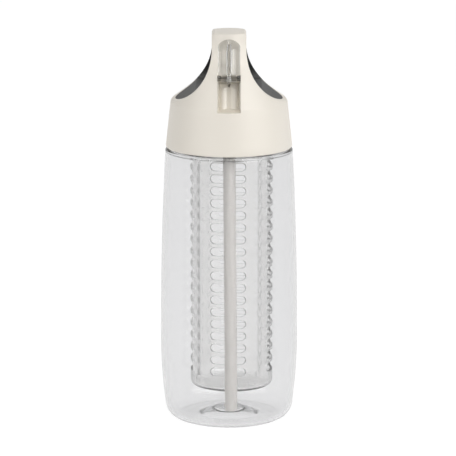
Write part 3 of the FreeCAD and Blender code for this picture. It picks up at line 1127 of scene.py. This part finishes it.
    def mouth_grid(self) -> tuple[Array, Array]:
        """Grid of the bayonet mouth, whose lines follow the edges of its L-shaped slots.

        The points lie on the chords of the strip below.

        Returns:
            Points by face (outer, inner), level and angle, and which cells are full.
        """
        starts = FULL_TURN * np.arange(self.lug_count)[:, None] / self.lug_count
        first = starts - self.sweep_angle
        edges = np.concatenate([first, first + self.entry_angle, starts + self.lug_angle], 1)
        count = self.edge_segments * self.slot_columns
        even = self.turn - self.half_cell + np.arange(count) * self.step
        lines = np.sort(np.concatenate([even, edges.ravel()]) % FULL_TURN)
        angle = np.append(lines, lines[0] + FULL_TURN)
        drops = (self.mouth_drop, self.bayonet_low_drop, self.bayonet_high_drop, 0)
        level = self.top - np.array(drops)[:, None]
        middle = (angle[:-1] + angle[1:]) / 2
        past = (middle - first) % FULL_TURN
        in_run = (past < self.sweep_angle + self.lug_angle).any(0)
        in_entry = (past < self.entry_angle).any(0)
        full = np.stack([np.ones(len(middle), bool), ~in_run, ~in_entry])
        offset = (angle - even[0]) % self.step - self.step / 2
        chord = np.cos(self.step / 2) / np.cos(offset)
        faces = [self.around(angle, chord * r, level)
                 for r in (self.radius, self.radius - self.wall)]
        return np.stack(faces), full

    def mouth(self) -> Surface:
        """Bayonet mouth: the full cells of its grid, outside and inside.

        A wall closes each side, and a ledge each top, where a full cell meets an empty one.

        Returns:
            Points and quads.
        """
        (outer, inner), full = self.mouth_grid()
        after = np.roll(full, -1, 1)
        above = np.concatenate([full[1:], np.zeros((1, full.shape[1]), bool)])
        outside = ((outer, 0, 0), (outer, 0, 1), (outer, 1, 1), (outer, 1, 0))
        inside = ((inner, 0, 0), (inner, 1, 0), (inner, 1, 1), (inner, 0, 1))
        wall = ((outer, 0, 1), (inner, 0, 1), (inner, 1, 1), (outer, 1, 1))
        ledge = ((outer, 1, 0), (outer, 1, 1), (inner, 1, 1), (inner, 1, 0))
        sides = []
        for cells, corners in ((full, outside), (full, inside),
                               (full & ~after, wall), (~full & after, wall[::-1]),
                               (full & ~above, ledge), (~full & above, ledge[::-1])):
            i, j = np.nonzero(cells)
            sides.append(np.stack([face[i + up, j + on] for face, up, on in corners], 1))
        points = np.concatenate(sides).reshape(-1, 3)
        return points, np.arange(len(points)).reshape(-1, 4)

    def build(self, clear: Material) -> None:
        """Make the basket and let it stand for the CAD node.

        Args:
            clear: Its finish.
        """
        surface = joined([self.slotted(), *self.strips(), self.mouth()])
        piece = surface_piece("slotted_basket", surface)
        place(piece, Body.INFUSER, Slot.CLEAR_INFUSER, clear, "infuser_basket")


@dataclass
class ScrewLid:
    """Cream lid with its carry loop, soft liner and inner thread."""

    bore_radius: float = 0.0334
    root_sink: float = 0.0002
    section_points: int = 9
    steps_per_turn: int = 96
    pitch_share: float = 0.5
    crisp_angle: float = 30.0
    thread: ThreadForm = ThreadForm()

    def thread_surface(self) -> Surface:
        """Ridge section carried along a helix inside the skirt, between the turns of the neck's.

        Point (i, j) lies at the angle of step i, at the height of the helix plus the offset
        of section point j, and the radius shrinks from the bore by the ridge's height there.

        Returns:
            Points and quads.
        """
        form = self.thread
        steps = int(form.turns * self.steps_per_turn)
        phase = np.linspace(0, form.turns * FULL_TURN, steps)[:, None]
        offset = np.linspace(-form.half_width, form.half_width, self.section_points)
        proud = form.ridge_height * form.strength(phase) * form.ridge(offset)
        root = np.full((steps, 2), self.bore_radius + self.root_sink)
        section = np.concatenate([self.bore_radius - proud, root], 1)
        rise = np.concatenate([offset, offset[[-1, 0]]])
        climb = form.pitch * (phase / FULL_TURN - self.pitch_share)
        points = np.stack(np.broadcast_arrays(
            section * np.cos(phase),
            section * np.sin(phase),
            form.start_height + climb + rise), -1)
        return points.reshape(-1, 3), grid_faces(steps, len(rise))

    def build(self, cream: Material, charcoal: Material) -> None:
        """Make the lid's pieces.

        Args:
            cream: Finish of the moulding.
            charcoal: Finish of the liner.
        """
        shell = node_copy("lid_moulding", "lid_shell", self.crisp_angle)
        place(shell, Body.LID, Slot.CREAM, cream, "lid_shell")
        liner = node_copy("loop_liner", "handle_liner", self.crisp_angle)
        place(liner, Body.LID, Slot.CHARCOAL, charcoal, "handle_liner")
        thread = surface_piece("lid_thread", self.thread_surface())
        place(thread, Body.LID, Slot.CREAM, cream)


@dataclass
class FlipSpout:
    """Clear spout, the clear trough that it folds into and its seal."""

    crisp_angle: float = 30.0
    bond: float = 0.00002

    def build(self, clear: Material, tinted: Material, silicone: Material) -> None:
        """Make the spout's pieces.

        Args:
            clear: Finish of the spout, whose darkened grey tint is painted shade.
            tinted: Finish of the trough, the spout's clear plastic with painted shade darkening
                its tint.
            silicone: Finish of the seal.
        """
        spout = node_copy("drinking_spout", "spout", self.crisp_angle)
        place(spout, Body.SPOUT, Slot.CLEAR_SPOUT, clear, "spout")
        trough = node_copy("spout_trough", "spout_frame", self.crisp_angle, self.bond)
        place(trough, Body.LID, Slot.CLEAR_SPOUT, tinted, "spout_frame")
        dress_node("spout_seal", silicone)


class InnerWorks:
    """What the lid hides: inner cap, air valve and gasket."""

    def build(self, cream: Material, silicone: Material) -> None:
        """Dress the CAD nodes.

        Args:
            cream: Finish of the inner cap.
            silicone: Finish of the soft parts.
        """
        dress_node("inner_cap", cream)
        dress_node("vent_valve", silicone)
        dress_node("neck_gasket", silicone)


@dataclass(frozen=True)
class Lamp:
    """A soft rectangular lamp that looks at the bottle."""

    name: str
    place: tuple
    width: float
    height: float
    power: float


@dataclass
class Studio:
    """Floor, white surround, soft lamps and the camera."""

    camera_distance: float = 2.07
    camera_height: float = 0.543
    aim_height: float = 0.1133
    aim_side: float = -0.0006
    lens: float = 277.8
    floor_half_size: float = 9.0
    floor_drop: float = 0.00005
    floor_glow: float = 0.905
    floor_colour: tuple = (0.24, 0.24, 0.24, 1)
    room_level: float = 0.49
    front_level: float = 0.45
    back_ends: tuple = (-0.8, 0.4)
    box_level: float = 4.5
    box_sides: tuple = (0.7, 1.0)
    box_near: tuple = (0.38, 0.46)
    box_far: tuple = (0.95, 1.0)
    lamps: tuple = (
        Lamp("key_right", (1.0, -1.1, 0.9), 0.7, 1.0, 6.6),
        Lamp("fill_left", (-1.2, -0.9, 0.6), 0.6, 1.0, 0.8),
        Lamp("top_soft", (0.15, -0.5, 1.6), 0.9, 0.9, 6.6),
    )

    def camera(self) -> None:
        """Put the camera in front of the bottle at the picture's viewing angle."""
        data = bpy.data.cameras.new("camera")
        data.lens = self.lens
        data.dof.use_dof = False
        camera = linked("camera", data)
        rise = self.camera_height - self.aim_height
        back = math.sqrt(self.camera_distance ** 2 - rise ** 2)
        camera.location = (self.aim_side, -back, self.camera_height)
        camera.rotation_euler = (math.pi / 2 - math.asin(rise / self.camera_distance), 0, 0)
        bpy.context.scene.camera = camera

    def floor(self) -> None:
        """Pale floor: mostly its own white, with the rest lit so that it keeps the shadow."""
        half, drop = self.floor_half_size, -self.floor_drop
        corners = [(-half, -half, drop), (half, -half, drop),
                   (half, half, drop), (-half, half, drop)]
        floor = surface_piece("floor", (np.array(corners), np.array([[0, 1, 2, 3]])))
        material = bpy.data.materials.new("white_floor")
        material.use_nodes = True
        material.node_tree.nodes.clear()
        tree = Tree(material.node_tree)
        lit = tree.node("ShaderNodeBsdfDiffuse")
        lit.inputs["Color"].default_value = self.floor_colour
        glow = tree.node("ShaderNodeEmission")
        glow.inputs["Strength"].default_value = self.floor_glow
        both = tree.node("ShaderNodeAddShader")
        tree.link(lit.outputs[0], both.inputs[0])
        tree.link(glow.outputs[0], both.inputs[1])
        tree.link(both.outputs[0], tree.node("ShaderNodeOutputMaterial").inputs["Surface"])
        dress(floor, material)

    def surround(self) -> None:
        """White backdrop for the eye and through clear parts, a plain level for the light."""
        world = bpy.data.worlds.new("white_room")
        bpy.context.scene.world = world
        world.use_nodes = True
        world.node_tree.nodes.clear()
        tree = Tree(world.node_tree)
        ray = tree.node("ShaderNodeLightPath").outputs
        seen = tree.maths("MAXIMUM", ray["Is Camera Ray"], ray["Is Transmission Ray"])
        way = tree.node("ShaderNodeSeparateXYZ")
        tree.link(tree.node("ShaderNodeTexCoord").outputs["Generated"], way.inputs[0])
        back = tree.span(tree.step(way.outputs["Y"], self.back_ends), self.front_level, 1.0)
        shine = tree.maths("ADD", back, self.boxes(tree, way))
        mirror = tree.maths("MULTIPLY", ray["Is Glossy Ray"], shine)
        plain = tree.maths("SUBTRACT", 1.0, ray["Is Glossy Ray"])
        room = tree.maths("ADD", mirror, tree.maths("MULTIPLY", plain, self.room_level))
        backdrop = tree.node("ShaderNodeBackground")
        tree.link(tree.maths("MAXIMUM", seen, room), backdrop.inputs["Strength"])
        tree.link(backdrop.outputs[0], tree.node("ShaderNodeOutputWorld").inputs["Surface"])

    def boxes(self, tree: Tree, way: Node) -> Socket:
        """Two tall soft boxes in front, left and right, as polished parts mirror them.

        With s = x / sqrt(x^2 + y^2), a box is bright where s, or -s, lies between its near
        and far edge and y points to the front.

        Args:
            tree: Tree of the world.
            way: Node that splits the looking direction into X, Y and Z.

        Returns:
            Strength of the boxes in each direction.
        """
        x, y, z = way.outputs
        flat = tree.maths("SUBTRACT", 1.0, tree.maths("MULTIPLY", z, z))
        side = tree.maths("DIVIDE", x, tree.maths("POWER", flat, 0.5))
        bands = []
        for sign, share in zip((-1.0, 1.0), self.box_sides):
            turned = tree.maths("MULTIPLY", side, sign)
            past = tree.maths("SUBTRACT", 1.0, tree.step(turned, self.box_far))
            band = tree.maths("MULTIPLY", tree.step(turned, self.box_near), past)
            bands.append(tree.maths("MULTIPLY", band, share * self.box_level))
        front = tree.maths("LESS_THAN", y, 0.0)
        return tree.maths("MULTIPLY", tree.maths("ADD", *bands), front)

    def light(self) -> None:
        """Hang the lamps and turn each towards the middle of the bottle."""
        for lamp in self.lamps:
            data = bpy.data.lights.new(lamp.name, "AREA")
            data.shape = "RECTANGLE"
            data.size, data.size_y, data.energy = lamp.width, lamp.height, lamp.power
            made = linked(lamp.name, data)
            made.location = lamp.place
            way = Vector((0, 0, self.aim_height)) - made.location
            made.rotation_euler = way.to_track_quat("-Z", "Y").to_euler()

    def build(self) -> None:
        """Set up the whole studio."""
        self.camera()
        self.floor()
        self.surround()
        self.light()
        bpy.context.scene.view_settings.view_transform = "Standard"


POLISHED = Skin(flow_scale=45, grain_scale=900, grain_share=0.02, depth=0.00003)
SATIN = Skin(flow_scale=35, grain_scale=2600, grain_share=0.25, depth=0.00002)
STIPPLED = Skin(flow_scale=60, grain_scale=1800, grain_share=0.6, depth=0.00006)
EXTRUDED = Skin(flow_scale=50, grain_scale=1500, grain_share=0.15, depth=0.00002)

CLEAR_BOTTLE = ClearPlastic(
    "clear_bottle_plastic", (0.95, 0.95, 0.955), (0.963, 0.963, 0.965), POLISHED,
    depth_colour=(0.5, 0.5, 0.505), depth_density=110)
CLEAR_INFUSER = ClearPlastic(
    "clear_infuser_plastic", (0.978, 0.976, 0.97), (0.99, 0.988, 0.982), POLISHED,
    rough_low=0.08, rough_high=0.24, depth_density=20)
# Grey spout tint, much darker than the bottle's clear plastic: painted shade for the darker
# surroundings seen through the spout.
CLEAR_SPOUT = ClearPlastic(
    "clear_spout_plastic", (0.63, 0.625, 0.61), (0.68, 0.675, 0.66), POLISHED)
# The trough's clear plastic, darker than the spout's: painted shade where the spout and its
# recess shadow the trough.
SHADED_TROUGH = ClearPlastic(
    "shaded_trough_plastic", (0.5, 0.49, 0.465), (0.54, 0.53, 0.505), POLISHED)
CREAM = SatinPlastic("cream_satin_plastic", (0.785, 0.738, 0.66), (0.81, 0.765, 0.69), SATIN)
CHARCOAL = SoftRubber(
    "charcoal_soft_grip", (0.026, 0.026, 0.025), (0.038, 0.038, 0.036), STIPPLED,
    rough_low=0.5, rough_high=0.66)
SILICONE = SoftRubber(
    "milky_silicone", (0.74, 0.74, 0.72), (0.8, 0.8, 0.78), STIPPLED,
    rough_low=0.42, rough_high=0.55, sheen=0.1)
FROSTED = FrostedTube(
    "frosted_straw_plastic", (0.775, 0.752, 0.72), (0.815, 0.792, 0.76), EXTRUDED)


def main() -> None:
    """Build every sub-assembly in order, then the studio; each modelled piece logs its face
    count.
    """
    logging.basicConfig(level=logging.INFO, format="%(name)s: %(message)s")
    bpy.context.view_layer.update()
    cream, silicone = CREAM.material(), SILICONE.material()
    BottleWall().build(CLEAR_BOTTLE.material())
    DrinkingStraw().build(FROSTED.material())
    InfuserBasket().build(CLEAR_INFUSER.material())
    ScrewLid().build(cream, CHARCOAL.material())
    FlipSpout().build(CLEAR_SPOUT.material(), SHADED_TROUGH.material(), silicone)
    InnerWorks().build(cream, silicone)
    Studio().build()


if __name__ == "__main__":
    main()
